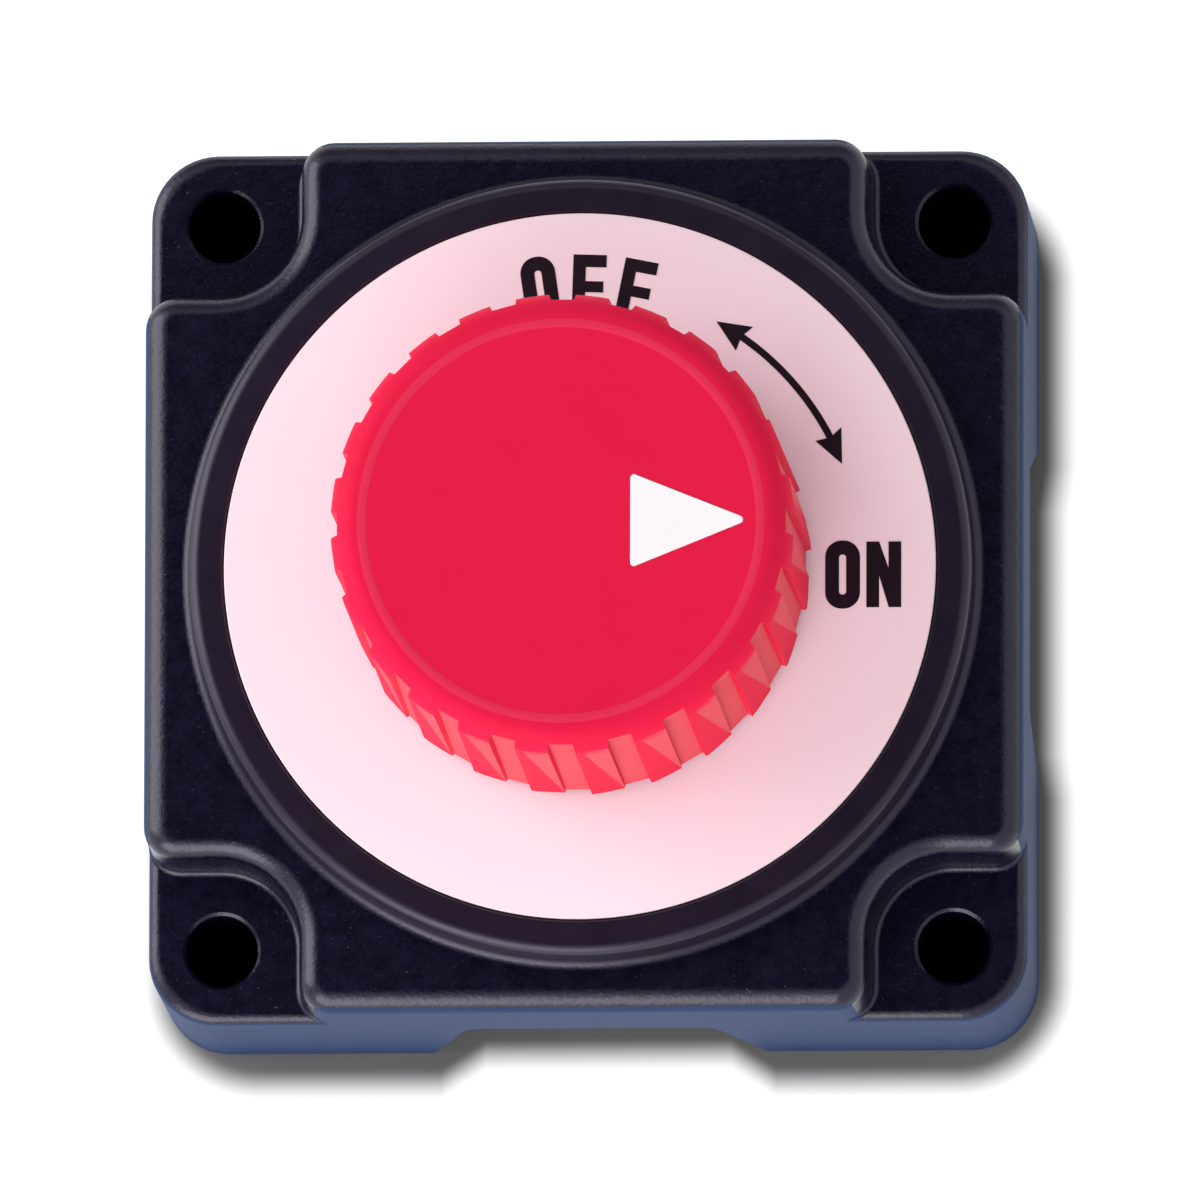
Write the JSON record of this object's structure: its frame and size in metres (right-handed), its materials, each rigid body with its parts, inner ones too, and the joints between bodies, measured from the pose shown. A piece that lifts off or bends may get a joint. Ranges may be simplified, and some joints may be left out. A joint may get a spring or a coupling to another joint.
{
  "type": "battery switch",
  "caption": "Square surface-mount battery switch with a ribbed red knob that turns a sprung copper bridge between two terminal studs.",
  "frame": {"origin": "centre of the mounting face, on the spindle's axis, at the level of the four feet", "axes": "+Z out of the panel along the spindle to the knob, +X to the ON position, +Y to the OFF position"},
  "size_m": [0.0694, 0.0694, 0.0537],
  "materials": {
    "housing_black": "fine-grained satin black moulding",
    "dial_print": "printed film, pale pinkish white",
    "knob_red": "satin red moulding",
    "pointer_white": "white filled inlay",
    "base_plastic": "glass-filled nylon",
    "rotor_plastic": "natural acetal",
    "detent_plastic": "grey acetal",
    "seal_rubber": "black nitrile",
    "tinned_copper": "tin plate over copper, threads cut",
    "bare_copper": "bare stamped copper",
    "contact_silver": "silver alloy",
    "zinc_steel": "zinc-plated steel",
    "stainless": "stainless steel",
    "spring_steel": "drawn spring wire",
    "turned_brass": "turned brass",
    "ptfe": "white sliding washer"
  },
  "bodies": {
    "base": {"housing": "housing_black", "dial_label": "dial_print", "detent_ring": "detent_plastic", "contact_base": "base_plastic", "base_gasket": "seal_rubber", "base_screws": "zinc_steel", "stud_supply": "tinned_copper", "stud_load": "tinned_copper", "fixed_tips": "contact_silver", "stud_seals": "seal_rubber", "stud_washers": "stainless", "stud_lock_washers": "stainless", "stud_nuts": "stainless"},
    "rotary": {"knob": "knob_red", "knob_pointer": "pointer_white", "knob_clip": "spring_steel", "spindle": "turned_brass", "spindle_seal": "seal_rubber", "bearing_washer": "stainless", "spindle_circlip": "spring_steel", "thrust_washer": "ptfe", "rotor": "rotor_plastic", "contact_spring": "spring_steel", "detent_spring_n": "spring_steel", "detent_spring_s": "spring_steel"},
    "bridge": {"contact_bridge": "bare_copper", "bridge_tips": "contact_silver"},
    "plunger_n": {"detent_plunger_n": "turned_brass"},
    "plunger_s": {"detent_plunger_s": "turned_brass"}
  },
  "joints": [
    {"name": "knob_turn", "type": "hinge", "parent": "base", "child": "rotary", "pos_m": [0, 0, 0.03], "axis": [0, 0, 1], "range_deg": [0, 90]},
    {"name": "bridge_press", "type": "slide", "parent": "rotary", "child": "bridge", "axis": [0, 0, 1], "range_m": [0, 0.0006], "stiffness_N_per_m": 900, "springref_m": -0.004, "deforming": ["contact_spring"]},
    {"name": "detent_n_slide", "type": "slide", "parent": "rotary", "child": "plunger_n", "axis": [0, 1, 0], "range_m": [0, 0.0008], "stiffness_N_per_m": 600},
    {"name": "detent_s_slide", "type": "slide", "parent": "rotary", "child": "plunger_s", "axis": [0, -1, 0], "range_m": [0, 0.0008], "stiffness_N_per_m": 600}
  ]
}
